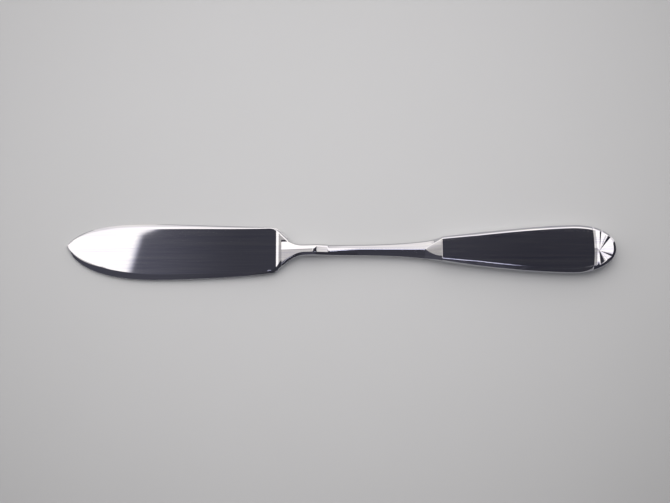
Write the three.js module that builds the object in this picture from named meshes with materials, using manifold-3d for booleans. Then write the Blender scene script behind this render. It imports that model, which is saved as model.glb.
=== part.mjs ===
// Butter knife with a hollow handle, in millimetres.
// A flat spreading blade is let into the slotted end of a ridged shank, whose tang is cemented into a handle
// made of two pressed half shells. +X runs from the blade's tip to the handle's end, +Y towards the spine and
// +Z up. The knife lies on the plane z = 0, and the origin is under the middle of its length and width.

import * as THREE from 'three';
import { mergeVertices } from 'three/addons/utils/BufferGeometryUtils.js';
import Module from 'manifold-3d';

const wasm = await Module();
wasm.setup();

// Lengths along the knife
const BLADE_LENGTH = 65.9; // tip to the top of the step at the heel
const HEEL_LENGTH = 2.9; // step to the end of the heel
const FORK_SETBACK = 0.8; // step to the front of the shank's fork
const SHANK_LENGTH = 50.4; // step to the handle's mouth
const HANDLE_LENGTH = 53.7; // mouth to the end of the fan

// Blade outline, measured from the tip and from the blade's centre line
const BLADE_WIDTH = 17.7;
const TIP_RISE = 2;
const SPINE_CREST = 24;
const BELLY_LOW = 27.6;
const SPINE_AT_HEEL = 7.8;
const BELLY_AT_HEEL = 6.85;
const SHOULDER_SETBACK = 3.2; // where the spine's rounded corner begins, ahead of the step
const SHOULDER_ROUND = 2;
const HEEL_CORNER_SETBACK = 1.9; // where the belly's corner begins, ahead of the step
const HEEL_TOP = 4.2; // ends of the heel, above and below the centre line
const HEEL_BOTTOM = 2.4;

// Bends of that outline: the two handles of each curve, as shares of its run along X and its rise along Y
const SPINE_BEND = [[0.3, 0.15], [0.7, 1]];
const POINT_BEND = [[0.5, 0], [0.85, 0.28]];
const BELLY_BEND = [[0.085, 0.59], [0.4, 1]];
const EDGE_BEND = [[0.28, 0], [0.72, 0.36]];
const CORNER_BEND = [[0.4, 0.08], [0.55, 0.58]];

// Blade thickness
const BLADE_THICKNESS = 1.7;
const TIP_THICKNESS = 1.3;
const EDGE_THICKNESS = 0.3;
const SPINE_BEVEL = 1.55;
const EDGE_BEVEL = 2.1;
const BEVEL_RUN = 11; // length over which the bevels widen behind the tip
const TIP_BEVEL_SHARE = 0.12; // share of a bevel's width that is left at the tip
const HEEL_STEP = 0.37; // the heel stands this much proud of each face
const STEP_RUN = 0.6;
const HEEL_RAMP = 0.085; // rise of the heel's face for each millimetre behind the step
const HEEL_HEIGHT = 1.9; // middle of the blade above the table, at the heel

// Joint between blade and shank
const TENON_LENGTH = 5.5;
const TENON_THICKNESS = 1.1;
const MORTISE_WALL = 1; // metal left beside the mortise
const SEAM = 0.15; // gap of the soldered seam

// Shank
const AXIS_Y = 0.5; // shank and handle lie this much towards the spine
const LEVEL_RUN = 12.7; // step to the place where the knife's middle plane runs level
const NECK_SPINE = 1.2; // edges of the neck and of the bolster, on each side of the ridge
const NECK_BELLY = 1.45;
const BOLSTER_SPINE = 3.55;
const BOLSTER_BELLY = 3.65;
const FORK_FLARE_SPINE = 1.6; // how far the fork spreads on each side of the neck
const FORK_FLARE_BELLY = 3.35;
const FORK_SHOULDER = 2.1; // straight part of the fork's spine side
const FLARE_END = 7.3; // front of the fork to the straight neck
const FLARE_POWER = 2.4;
const ROD_POWER = 4; // how late the rod widens towards the bolster
const HUMP_START = 10.1; // front of the fork to the crest of the neck's hump
const LAND_START = 1.2; // crest to the flat land behind it
const RIDGE_START = 14.65; // front of the fork to the sharp ridge
const LAND_GAP = 0.3; // end of the land to the ridge
const RIDGE_TAPER = 9.15; // length over which the ridge narrows to a line
const BOLSTER_LENGTH = 5.1;
const SIDE_BEVEL = 0.45; // bevel along the shank's sides, seen from above
const SIDE_FALL = 1; // fall of that bevel for each millimetre of its width
const FACE_SPINE = 3.05; // edges of the bolster's face at the mouth
const FACE_BELLY = 2.4;
const FACE_POWER = 2; // how early the face widens on the belly side

// Half heights and half widths of the shank's crown, from the fork to the handle's mouth
const FORK_HEIGHT = 1.31;
const HUMP_HEIGHT = 2.1;
const LAND_HEIGHT = 1.9;
const LAND_END_HEIGHT = 1.4;
const RIDGE_HEIGHT = 1.35;
const ROD_HEIGHT = 1.42;
const BOLSTER_HEIGHT = 1.48;
const MOUTH_HEIGHT = 2.32;
const FORK_CROWN = 0.3;
const HUMP_CROWN = 0.6;
const LAND_CROWN = 0.7;
const RIDGE_CROWN = 0.45;
const ROD_CROWN = 0.12;

// Tang
const TANG_LENGTH = 34;
const TANG_WIDTH = 4.4;
const TANG_TIP_WIDTH = 3;
const TANG_THICKNESS = 1.4;
const TANG_ROOT = 1; // length of the tang inside the bolster

// Handle
const HANDLE_THICKNESS = 4.8;
const HANDLE_WIDTH = 14.9;
const MOUTH_WIDTH = 7.4;
const WIDEST = 13.1; // widest place of the handle, ahead of its end
const HANDLE_POWER = 1.42; // how soon the handle widens behind the mouth
const MOUTH_BEVEL = 0.5; // bevel along the panel, seen from above
const PANEL_BEVEL = 0.8;
const BEVEL_FALL = 1.05; // fall of that bevel for each millimetre of its width
const BEVEL_GROWTH = 11; // length over which the bevel reaches its full size
const MOUTH_CHAMFER = 0.2;
const CHAMFER_DEPTH = 0.08;
const SHELL_WALL = 0.6;
const END_WALL = 9; // solid end under the fan
const BOND = 0.2; // cement line round the filler and the tang

// Fan at the handle's end
const FAN_LENGTH = 5.25; // hub to end
const FAN_BORDER = 1.5; // hub to the groove that ends the panel
const BORDER_BOW = 0.45;
const BORDER_DEPTH = 0.2;
const BORDER_LIP = 0.25;
const BAND_RUN = 0.65; // groove to the top of the plain band round the fan
const BAND_FALL = 0.12; // fall of groove and band from the middle to their ends
const HUB_DROP = 0.8; // hub below the handle's axis
const HUB_DEPTH = 0.1;
const RIM_BEVEL = 0.7;
const FAN_SIDE = 1.5; // upright rim round the fan
const FAN_FALL = 0.4; // fall of the fan from the hub to the handle's end; its two sides stay level
const FLUTE_DEPTH = 0.36;
const LOBE_EDGES = [-120, -60, -24, 50, 84, 96]; // degrees from +X; the first and last lobe are cut in half
const LOBE_PARTS = [-1, -0.85, -0.6, 0, 0.6, 0.85]; // rays of a lobe, from one edge to near the other
const LOBE_POWER = 4; // how late a lobe falls off towards its edges
const RAY_MIDDLE = 0.5; // place of the points between the middle and the edge of a face

// Steps of the faceted curves
const OUTLINE_STEPS = 14;
const FLARE_STEPS = 10;
const ROD_STEPS = 10;
const BOLSTER_STEPS = 6;
const HANDLE_STEPS = 22;

// Stations along X
const TIP_X = -(BLADE_LENGTH + SHANK_LENGTH + HANDLE_LENGTH) / 2;
const HEEL_X = TIP_X + BLADE_LENGTH;
const HEEL_END_X = HEEL_X + HEEL_LENGTH;
const FORK_X = HEEL_X + FORK_SETBACK;
const MOUTH_X = HEEL_X + SHANK_LENGTH;
const END_X = MOUTH_X + HANDLE_LENGTH;
const BOLSTER_X = MOUTH_X - BOLSTER_LENGTH;
const HUMP_X = FORK_X + HUMP_START;
const LAND_X = HUMP_X + LAND_START;
const RIDGE_X = FORK_X + RIDGE_START;
const NECK_X = FORK_X + FLARE_END;
const LEVEL_X = HEEL_X + LEVEL_RUN;
const WIDEST_X = END_X - WIDEST;
const HUB_X = END_X - FAN_LENGTH;
const BORDER_X = HUB_X - FAN_BORDER;
const HANDLE_TOP = HANDLE_THICKNESS / 2;

// The shank's crown: its half height and half width, and the fall of the facets on each side of it for each
// millimetre across
const CROWN = [
  { x: FORK_X, height: FORK_HEIGHT, half: FORK_CROWN, fallSpine: 0.12, fallBelly: 0.12 },
  { x: HUMP_X, height: HUMP_HEIGHT, half: HUMP_CROWN, fallSpine: 0.12, fallBelly: 0.12 },
  { x: LAND_X, height: LAND_HEIGHT, half: LAND_CROWN, fallSpine: 0.3, fallBelly: 0.3 },
  { x: RIDGE_X - LAND_GAP, height: LAND_END_HEIGHT, half: LAND_CROWN, fallSpine: 0.3, fallBelly: 0.45 },
  { x: RIDGE_X, height: RIDGE_HEIGHT, half: RIDGE_CROWN, fallSpine: 0.75, fallBelly: 0.45 },
  { x: RIDGE_X + RIDGE_TAPER, height: ROD_HEIGHT, half: ROD_CROWN, fallSpine: 0.6, fallBelly: 0.45 },
  { x: BOLSTER_X, height: BOLSTER_HEIGHT, half: ROD_CROWN, fallSpine: 0.4, fallBelly: 0.42 },
  { x: MOUTH_X, height: MOUTH_HEIGHT, half: ROD_CROWN, fallSpine: 1, fallBelly: 1 },
];

const { lerp, clamp, degToRad } = THREE.MathUtils;
const share = (x, from, to) => clamp((x - from) / (to - from), 0, 1);
const steps = (from, to, count) => Array.from({ length: count + 1 }, (_, i) => lerp(from, to, i / count));

// Height of the knife's middle plane: the blade droops, so that its tip and the handle's back touch the table
function middle(x) {
  if (x < HEEL_X) return lerp(TIP_THICKNESS / 2, HEEL_HEIGHT, (x - TIP_X) / BLADE_LENGTH);
  return lerp(HEEL_HEIGHT, HANDLE_TOP, share(x, HEEL_X, LEVEL_X));
}

// Closed geometry from loose triangles, each a list of three points
function weld(triangles) {
  const geometry = new THREE.BufferGeometry().setFromPoints(triangles.flat());
  return mergeVertices(geometry, 1e-4);
}

// Triangles of a flat polygon drawn in the plane of the two named axes, facing along the third axis
function fill(points, axisA, axisB) {
  const outline = points.map((point) => new THREE.Vector2(point[axisA], point[axisB]));
  return THREE.ShapeUtils.triangulateShape(outline, []).map((face) => face.map((index) => points[index]));
}

// Two triangles for each cell between two rows of points
function strip(rowA, rowB, closed) {
  const cells = closed ? rowA.length : rowA.length - 1;
  return Array.from({ length: cells }, (_, i) => {
    const next = (i + 1) % rowA.length;
    return [[rowA[i], rowA[next], rowB[next]], [rowA[i], rowB[next], rowB[i]]];
  }).flat();
}

// Solid through a stack of rings, capped at both ends; the axes name the plane the rings are drawn in
function loft(rings, axisA, axisB) {
  const walls = rings.slice(1).flatMap((ring, i) => strip(rings[i], ring, true));
  const floor = fill(rings[0], axisA, axisB).map((face) => face.reverse());
  return weld([...floor, ...walls, ...fill(rings.at(-1), axisA, axisB)]);
}

function toSolid(geometry) {
  const vertProperties = Float32Array.from(geometry.attributes.position.array);
  const triVerts = Uint32Array.from(geometry.index.array);
  return new wasm.Manifold(new wasm.Mesh({ numProp: 3, vertProperties, triVerts }));
}

function toGeometry(solid) {
  const mesh = solid.getMesh();
  const geometry = new THREE.BufferGeometry();
  geometry.setAttribute('position', new THREE.BufferAttribute(mesh.vertProperties, 3));
  geometry.setIndex(new THREE.BufferAttribute(mesh.triVerts, 1));
  geometry.computeVertexNormals();
  return geometry;
}

// Section across X from the corners of its upper half, given from the spine side to the belly side as places
// in Y and heights above the middle plane; the lower half is its mirror image
function section(x, upper) {
  const z = middle(x);
  const lower = upper.map(([y, height]) => [y, -height]).reverse();
  return [...upper, ...lower].map(([y, height]) => new THREE.Vector3(x, y, z + height));
}

// Rectangle across X, between two edges in Y and a half height above and below the middle plane
function slab(x, spine, belly, half) {
  const z = middle(x);
  const corners = [[spine, -half], [spine, half], [belly, half], [belly, -half]];
  return corners.map(([y, height]) => new THREE.Vector3(x, y, z + height));
}

// Blade

const bladeShare = (x) => share(x, TIP_X, HEEL_X);
const bladeThickness = (x) => lerp(TIP_THICKNESS, BLADE_THICKNESS, bladeShare(x));

// Curve from one point of an outline to the next, with its handles at shares of the run and rise
function curveTo(outline, to, bend) {
  const from = outline.currentPoint;
  const [leave, arrive] = bend.map(([run, rise]) => [lerp(from.x, to.x, run), lerp(from.y, to.y, rise)]);
  outline.bezierCurveTo(...leave, ...arrive, to.x, to.y);
}

// The outline runs from the heel's end along the spine to the tip, and back along the belly
function bladeOutline() {
  const half = BLADE_WIDTH / 2;
  const shoulder = new THREE.Vector2(HEEL_X - SHOULDER_SETBACK, SPINE_AT_HEEL);
  const heelTop = new THREE.Vector2(HEEL_END_X, HEEL_TOP);
  const slope = heelTop.clone().sub(shoulder).setLength(SHOULDER_ROUND);

  const outline = new THREE.Shape();
  outline.moveTo(heelTop.x, heelTop.y);
  outline.lineTo(shoulder.x + 2 * slope.x, shoulder.y + slope.y);
  outline.quadraticCurveTo(shoulder.x + slope.x, shoulder.y, shoulder.x, shoulder.y);
  curveTo(outline, new THREE.Vector2(TIP_X + SPINE_CREST, half), SPINE_BEND);
  curveTo(outline, new THREE.Vector2(TIP_X, TIP_RISE), POINT_BEND);
  curveTo(outline, new THREE.Vector2(TIP_X + BELLY_LOW, -half), BELLY_BEND);
  curveTo(outline, new THREE.Vector2(HEEL_X - HEEL_CORNER_SETBACK, -BELLY_AT_HEEL), EDGE_BEND);
  curveTo(outline, new THREE.Vector2(HEEL_END_X, -HEEL_BOTTOM), CORNER_BEND);
  return outline.getPoints(OUTLINE_STEPS);
}

// Outline moved inwards by the bevels, which widen behind the tip and fade out at the heel
function bevelledOutline(outline) {
  const tip = outline.reduce((best, point, i) => (point.x < outline[best].x ? i : best), 0);
  return outline.map((point, i) => {
    const before = outline[Math.max(i - 1, 0)];
    const after = outline[Math.min(i + 1, outline.length - 1)];
    const inward = after.clone().sub(before).normalize().rotateAround(new THREE.Vector2(), Math.PI / 2);
    const widest = i < tip ? SPINE_BEVEL : EDGE_BEVEL;
    const start = lerp(TIP_BEVEL_SHARE, 1, share(point.x, TIP_X, TIP_X + BEVEL_RUN));
    return point.clone().addScaledVector(inward, widest * start * Math.sqrt(1 - bladeShare(point.x)));
  });
}

const raise = (outline, height) => outline.map(({ x, y }) => new THREE.Vector3(x, y, middle(x) + height(x)));

// Edges of the shank, which the blade's heel is notched to receive
const spineFlare = (x) => FORK_FLARE_SPINE * share(x, NECK_X, FORK_X + FORK_SHOULDER) ** FLARE_POWER;
const bellyFlare = (x) => FORK_FLARE_BELLY * share(x, NECK_X, FORK_X) ** FLARE_POWER;
const rodShare = (x) => share(x, NECK_X, MOUTH_X) ** ROD_POWER;
const shankSpine = (x) => AXIS_Y + lerp(NECK_SPINE, BOLSTER_SPINE, rodShare(x)) + spineFlare(x);
const shankBelly = (x) => AXIS_Y - lerp(NECK_BELLY, BOLSTER_BELLY, rodShare(x)) - bellyFlare(x);

// Tenon from its root in the heel to its end in the shank, grown by a clearance to make the mortise
function tenon(rootX, clearance) {
  const endX = FORK_X + TENON_LENGTH + clearance;
  const half = TENON_THICKNESS / 2 + clearance;
  const wall = MORTISE_WALL - clearance;
  const rings = [rootX, ...steps(FORK_X, endX, FLARE_STEPS)].map((x) => {
    const edgeX = Math.max(x, FORK_X);
    return slab(x, shankSpine(edgeX) - wall, shankBelly(edgeX) + wall, half);
  });
  return toSolid(loft(rings, 'y', 'z'));
}

function makeBlade() {
  const outline = bladeOutline();
  const bevelled = bevelledOutline(outline);
  const face = (x) => bladeThickness(x) / 2;
  const land = () => EDGE_THICKNESS / 2;
  const plate = toSolid(loft([
    raise(bevelled, (x) => -face(x)), raise(outline, (x) => -land(x)),
    raise(outline, land), raise(bevelled, face),
  ], 'x', 'y'));

  // The heel is the same outline, thicker: a sloping step, then a face that rises towards the shank
  const tall = () => 2 * BLADE_THICKNESS;
  const column = toSolid(loft([raise(outline, (x) => -tall(x)), raise(outline, tall)], 'x', 'y'));
  const stepRing = (x, rise) => slab(x, BLADE_WIDTH, -BLADE_WIDTH, BLADE_THICKNESS / 2 + rise);
  const behindStep = toSolid(loft([
    stepRing(HEEL_X - 2 * STEP_RUN, -HEEL_STEP), stepRing(HEEL_X, HEEL_STEP),
    stepRing(HEEL_END_X + STEP_RUN, HEEL_STEP + HEEL_RAMP * (HEEL_LENGTH + STEP_RUN)),
  ], 'y', 'z'));

  // The fork of the shank sits in a notch that is open towards the belly, and the tenon runs on into it
  const notch = toSolid(loft(steps(FORK_X - SEAM, HEEL_END_X + STEP_RUN, FLARE_STEPS).map(
    (x) => slab(x, shankSpine(x) + SEAM, -BLADE_WIDTH, tall())), 'y', 'z'));
  return plate.add(column.intersect(behindStep)).subtract(notch).add(tenon(FORK_X - FORK_SETBACK / 2, 0));
}

// Shank

// A value of the crown at a place along the shank, straight between its stations
function crownValue(x, key) {
  const last = Math.max(1, CROWN.findIndex((station) => station.x >= x));
  const [from, to] = [CROWN[last - 1], CROWN[last]];
  return lerp(from[key], to[key], share(x, from.x, to.x));
}

// From the soft crown of the fork, over the hump and the sharp ridge, to the widening face of the bolster
function shankSection(x) {
  const flare = share(x, BOLSTER_X, MOUTH_X);
  const top = crownValue(x, 'height');
  const half = crownValue(x, 'half');
  const spine = shankSpine(x);
  const belly = shankBelly(x);
  const crownSpine = AXIS_Y + lerp(half, FACE_SPINE, flare);
  const crownBelly = AXIS_Y - lerp(half, FACE_BELLY, 1 - (1 - flare) ** FACE_POWER);
  const bevelSpine = spine - SIDE_BEVEL;
  const bevelBelly = belly + SIDE_BEVEL;
  const heightSpine = top - crownValue(x, 'fallSpine') * (bevelSpine - crownSpine);
  const heightBelly = top - crownValue(x, 'fallBelly') * (crownBelly - bevelBelly);
  const drop = SIDE_FALL * SIDE_BEVEL;
  return section(x, [
    [spine, heightSpine - drop], [bevelSpine, heightSpine], [crownSpine, top],
    [crownBelly, top], [bevelBelly, heightBelly], [belly, heightBelly - drop],
  ]);
}

// Tang from its root in the bolster, grown by a clearance to make its pocket in the filler
function tang(rootX, clearance) {
  const endX = MOUTH_X + TANG_LENGTH + clearance;
  const half = TANG_THICKNESS / 2 + clearance;
  const ring = (x, width) => slab(x, AXIS_Y + width / 2 + clearance, AXIS_Y - width / 2 - clearance, half);
  const rings = [ring(rootX, TANG_WIDTH), ring(MOUTH_X, TANG_WIDTH), ring(endX, TANG_TIP_WIDTH)];
  return toSolid(loft(rings, 'y', 'z'));
}

function makeShank() {
  const stations = [
    ...steps(FORK_X, NECK_X, FLARE_STEPS), LEVEL_X,
    ...CROWN.slice(1, -3).map((station) => station.x),
    ...steps(RIDGE_X + RIDGE_TAPER, BOLSTER_X, ROD_STEPS),
    ...steps(BOLSTER_X, MOUTH_X, BOLSTER_STEPS).slice(1),
  ].sort((a, b) => a - b);
  const body = toSolid(loft(stations.map(shankSection), 'y', 'z'));
  return body.add(tang(MOUTH_X - TANG_ROOT, 0)).subtract(tenon(FORK_X - FORK_SETBACK, SEAM));
}

// Handle

// Half width: a widening curve up to the widest place, then half an ellipse
function handleHalf(x) {
  const half = HANDLE_WIDTH / 2;
  if (x > WIDEST_X) return half * Math.sqrt(Math.max(0, 1 - ((x - WIDEST_X) / WIDEST) ** 2));
  return lerp(half, MOUTH_WIDTH / 2, (1 - share(x, MOUTH_X, WIDEST_X)) ** HANDLE_POWER);
}

function panelBevel(x) {
  const bevel = lerp(MOUTH_BEVEL, PANEL_BEVEL, share(x, MOUTH_X, MOUTH_X + BEVEL_GROWTH));
  return lerp(bevel, RIM_BEVEL, share(x, BORDER_X, HUB_X));
}

const panelHalf = (x) => handleHalf(x) - panelBevel(x);
const sideHeight = (x) => HANDLE_TOP - BEVEL_FALL * panelBevel(x);

// Distance from the fan's hub to the ellipse of the handle's end, at an angle from +X
function rimRadius(angle) {
  const ahead = HUB_X - WIDEST_X;
  const across = HANDLE_WIDTH / 2;
  const a = (Math.cos(angle) / WIDEST) ** 2 + (Math.sin(angle) / across) ** 2;
  const b = (ahead * Math.cos(angle)) / WIDEST ** 2 - (HUB_DROP * Math.sin(angle)) / across ** 2;
  const c = (ahead / WIDEST) ** 2 + (HUB_DROP / across) ** 2 - 1;
  return (-b + Math.sqrt(b * b - a * c)) / a;
}

// Row of points across the front half of the handle, from its belly side over the face to its spine side;
// a bowed row bends towards the mouth at its sides, and the face's height falls from its middle to its edges
function handleRow(x, bow, height, fall = 0) {
  const point = (out, half, rise) => {
    const px = x - bow * out ** 2;
    return new THREE.Vector3(px, AXIS_Y + out * half(px), HANDLE_TOP + rise(px));
  };
  const face = [-1, -RAY_MIDDLE, 0, RAY_MIDDLE, 1].map(
    (out) => point(out, panelHalf, () => height - fall * Math.abs(out)));
  const rim = (side) => [point(side, handleHalf, () => 0), point(side, handleHalf, sideHeight)];
  return [...rim(-1), ...face, ...rim(1).reverse()];
}

// Depth of the flutes: 0 on the crest of a lobe, 1 at its two edges
function flute(degrees) {
  const last = LOBE_EDGES.findIndex((edge) => edge > degrees);
  const [from, to] = [LOBE_EDGES[last - 1], LOBE_EDGES[last]];
  return Math.abs((2 * degrees - from - to) / (to - from)) ** LOBE_POWER;
}

function fanHeight(out, degrees) {
  const fall = FAN_FALL * Math.cos(degToRad(degrees)) + FLUTE_DEPTH * flute(degrees);
  return HANDLE_TOP - HUB_DEPTH - out * fall;
}

// Points from the hub to the rim along one ray of the fan
function fanRay(degrees) {
  const angle = degToRad(degrees);
  const radius = rimRadius(angle);
  const point = (reach, height) => new THREE.Vector3(
    HUB_X + reach * Math.cos(angle), AXIS_Y - HUB_DROP + reach * Math.sin(angle), HANDLE_TOP + height);
  const edge = radius - RIM_BEVEL;
  return [
    point(0, fanHeight(0, degrees)), point(RAY_MIDDLE * edge, fanHeight(RAY_MIDDLE, degrees)),
    point(edge, fanHeight(1, degrees)), point(radius, FAN_SIDE), point(radius, 0),
  ];
}

// Front half of the handle as one closed body, flat at the seam
function handleHalfGeometry() {
  const angles = LOBE_EDGES.slice(1).flatMap(
    (to, i) => LOBE_PARTS.map((part) => lerp(LOBE_EDGES[i], to, (part + 1) / 2)));
  const rays = angles.filter((degrees) => Math.abs(degrees) <= 90).map(fanRay);
  const rows = [
    handleRow(MOUTH_X, 0, HANDLE_TOP - CHAMFER_DEPTH),
    ...steps(MOUTH_X + MOUTH_CHAMFER, BORDER_X - BORDER_LIP, HANDLE_STEPS).map((x) => {
      return handleRow(x, BORDER_BOW * share(x, MOUTH_X, BORDER_X - BORDER_LIP), HANDLE_TOP);
    }),
    handleRow(BORDER_X, BORDER_BOW, HANDLE_TOP - BORDER_DEPTH, BAND_FALL),
    handleRow(BORDER_X + BAND_RUN, BORDER_BOW / 2, HANDLE_TOP, BAND_FALL),
    [...rays[0].toReversed(), ...rays.at(-1).slice(1)],
  ];

  const body = rows.slice(1).flatMap((row, i) => strip(row, rows[i], false));
  const fan = rays.slice(1).flatMap((ray, i) => {
    return [[ray[0], rays[i][1], ray[1]], ...strip(rays[i].slice(1), ray.slice(1), false)];
  });
  const mouth = fill(rows[0], 'y', 'z').map((face) => face.reverse());
  const seam = [
    ...rows.map((row) => row[0]), ...rays.slice(1, -1).map((ray) => ray.at(-1)),
    ...rows.map((row) => row.at(-1)).reverse(),
  ];
  const floor = fill(seam, 'x', 'y').map((face) => face.reverse());
  return weld([...body, ...fan, ...mouth, ...floor]);
}

// Hollow of the handle: its outer section moved inwards by an even wall
function hollow(startX, endX, wall) {
  const rings = steps(startX, endX, HANDLE_STEPS).map((x) => {
    const run = panelBevel(x);
    const drop = HANDLE_TOP - sideHeight(x);
    const level = (wall * Math.hypot(run, drop)) / drop;
    const edge = handleHalf(x) - wall;
    const side = sideHeight(x) - ((level - wall) * drop) / run;
    const crown = panelHalf(x) + (wall * run) / drop - level;
    const top = HANDLE_TOP - wall;
    const corners = [[edge, side], [crown, top], [-crown, top], [-edge, side]];
    return section(x, corners.map(([y, height]) => [AXIS_Y + y, height]));
  });
  return toSolid(loft(rings, 'y', 'z'));
}

const shellHollow = () => hollow(MOUTH_X - SHELL_WALL, END_X - END_WALL, SHELL_WALL);
const makeFrontShell = () => toSolid(handleHalfGeometry()).subtract(shellHollow());

// The back shell is the front shell mirrored at the seam
function makeBackShell() {
  const geometry = handleHalfGeometry();
  geometry.applyMatrix4(new THREE.Matrix4().makeScale(1, 1, -1).setPosition(0, 0, HANDLE_THICKNESS));
  geometry.setIndex(Array.from(geometry.index.array).reverse());
  return toSolid(geometry).subtract(shellHollow());
}

function makeFiller() {
  const core = hollow(MOUTH_X + BOND, END_X - END_WALL - BOND, SHELL_WALL + BOND);
  return core.subtract(tang(MOUTH_X - TANG_ROOT, BOND));
}

// Assembly

const finish = (color, roughness, metalness) => {
  return new THREE.MeshStandardMaterial({ color, roughness, metalness });
};
const polishedSteel = () => finish(0xbfc1c4, 0.12, 1);
const satinSteel = () => finish(0xb2b4b9, 0.2, 1);
const cement = () => finish(0x8f8b82, 0.9, 0);

function piece(name, solid, material) {
  const mesh = new THREE.Mesh(toGeometry(solid), material);
  mesh.name = name;
  return mesh;
}

const knife = new THREE.Group();
knife.add(
  piece('blade', makeBlade(), satinSteel()),
  piece('shank', makeShank(), polishedSteel()),
  piece('handle_front_shell', makeFrontShell(), satinSteel()),
  piece('handle_back_shell', makeBackShell(), satinSteel()),
  piece('handle_filler', makeFiller(), cement()),
);

export default knife;
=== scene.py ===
import math

import bmesh
import bpy
import numpy as np
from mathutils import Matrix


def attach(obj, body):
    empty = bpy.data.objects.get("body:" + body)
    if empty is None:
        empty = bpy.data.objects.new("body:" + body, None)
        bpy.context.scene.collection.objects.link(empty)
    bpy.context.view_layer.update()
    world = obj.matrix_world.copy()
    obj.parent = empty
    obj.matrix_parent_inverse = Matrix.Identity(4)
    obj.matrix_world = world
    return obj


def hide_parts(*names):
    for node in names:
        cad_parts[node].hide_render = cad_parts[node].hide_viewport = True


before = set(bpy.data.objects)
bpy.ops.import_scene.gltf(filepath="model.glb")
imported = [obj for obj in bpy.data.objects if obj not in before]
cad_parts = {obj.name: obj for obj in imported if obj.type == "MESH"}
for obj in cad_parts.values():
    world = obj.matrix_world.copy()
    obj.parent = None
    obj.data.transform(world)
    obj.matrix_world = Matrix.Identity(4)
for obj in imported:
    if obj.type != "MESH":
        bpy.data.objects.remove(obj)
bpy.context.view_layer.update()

# Blade
# A flat spreading blade of stainless steel, blanked and ground: its spine is rounded over, its edge is
# bevelled, and behind a sloping step the heel stands proud. A tenon behind it is soldered into the shank.

MM = 0.001  # sizes of the knife are in millimetres, and those of the studio in metres

TIP_X = -85.0
HEEL_X = -19.1  # top of the step
HEEL_END_X = -16.2
FORK_X = -18.3  # front of the shank
NECK_X = -11.0
LEVEL_X = -8.2  # behind it the knife's middle plane runs level
BLADE_HALF_WIDTH = 8.85
TIP_POINT = (TIP_X, 2.0)
SPINE_CREST = (-61.0, BLADE_HALF_WIDTH)
SPINE_SHOULDER = (-22.3, 7.8)
BELLY_LOW = (-57.4, -BLADE_HALF_WIDTH)
BELLY_CORNER = (-21.0, -6.85)
HEEL_TOP = (HEEL_END_X, 4.2)
HEEL_BOTTOM = (HEEL_END_X, -2.4)
SHOULDER_ROUND = 2.0
SHOULDER_POINTS = 40

# Bends of the outline: the two handles of each curve, as shares of its run along X and its rise along Y
POINT_BEND = ((0.15, 0.72), (0.5, 1.0))
SPINE_BEND = ((0.3, 0.0), (0.7, 0.85))
BELLY_BEND = ((0.085, 0.59), (0.4, 1.0))
EDGE_BEND = ((0.28, 0.0), (0.72, 0.36))
CORNER_BEND = ((0.4, 0.08), (0.55, 0.58))
CURVE_POINTS = 200
SLOPE_STEP = 0.01  # an outline's slope is taken from this much before a station to this much behind it

TIP_THICKNESS = 1.3
BLADE_THICKNESS = 1.7
EDGE_THICKNESS = 0.3
SPINE_ROUNDING = 1.9  # width of the rounded spine behind the tip
EDGE_BEVEL = 2.1
BEVEL_RUN = 11.0  # length over which both widen behind the tip
TIP_BEVEL_SHARE = 0.12
TIP_NOSE = 0.5  # length over which the tip is rounded off
BEVEL_SHARE = 0.45  # most of the blade's width that one bevel takes
LEAST_BEVEL = 0.2
BEVEL_LEAD = 24.0  # length over which it grows into the heel's bevel on the belly side
HEEL_BEVEL = 0.85  # bevel round the heel, as wide as it is deep
SPINE_POWER = 2.2  # 1 is a flat bevel, 2 a round one
EDGE_POWER = 1.15
EDGE_BULGE = 0.07  # rounding of the narrow rims, and of the heel's
HEEL_BULGE = 0.4
BULGE_SHARE = 0.2  # most of the blade's width that it takes
LEAST_ROOM = 0.0001  # least width that is left between the two roundings
HEEL_STEP = 0.37
STEP_RUN = 0.8
HEEL_RAMP = 0.085  # rise of the heel's face for each millimetre behind the step
HEEL_LAND_RUN = 3.0  # length over which the bevels give way to the heel's upright sides
TIP_HEIGHT = 0.65  # middle of the blade above the table, at its tip and at its heel
HEEL_HEIGHT = 1.9
HANDLE_HEIGHT = 2.4  # middle of the shank and the handle
SEAM = 0.15
SEAM_LINE = 0.06  # the seam as it shows on the face
TENON_END_X = -12.8
TENON_HALF = 0.55
TENON_ROWS = 9
MORTISE_WALL = 1.0

# Stations along the blade, which crowd towards the tip and on the step, and points round its section
TIP_RUN = 12.0
TIP_ROWS = 60
FACE_START = 0.5  # first station behind that run
FACE_ROWS = 90
STEP_MARGIN = 0.2
STEP_ROWS = 14
HEEL_ROWS = 5
NOTCH_ROWS = 12
BEVEL_COLUMNS = 13
BLADE_COLUMNS = 17
RIM_POINTS = 11

# Outline of the shank, which the notch in the heel follows
AXIS_Y = 0.5  # shank and handle lie this much towards the spine
NECK_SPINE = 1.4  # edges of the neck and of the bolster, on each side of the ridge
NECK_BELLY = 1.85
BOLSTER_SPINE = 3.55
BOLSTER_BELLY = 3.65
FORK_FLARE_SPINE = 1.45
FORK_FLARE_BELLY = 3.75
FORK_SHOULDER = 2.1
SPINE_FLARE_POWER = 2.4
BELLY_FLARE_POWER = 2.0
ROD_POWER = 4.0
MOUTH_X = 31.3


def share(x, start, end):
    """How far x has come from start to end, held between 0 and 1."""
    return np.clip((x - start) / (end - start), 0.0, 1.0)


def between(first, last, part):
    """The value that lies at a part of the way from the first to the last."""
    return first + (last - first) * part


def ease(part):
    """A share that starts and stops gently: three of its squares less two of its cubes."""
    return part * part * (3 - 2 * part)


def runs(*legs):
    """Stations along X through legs of (start, end, count), each leg evenly spaced."""
    return np.concatenate([np.linspace(*leg) for leg in legs])


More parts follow.
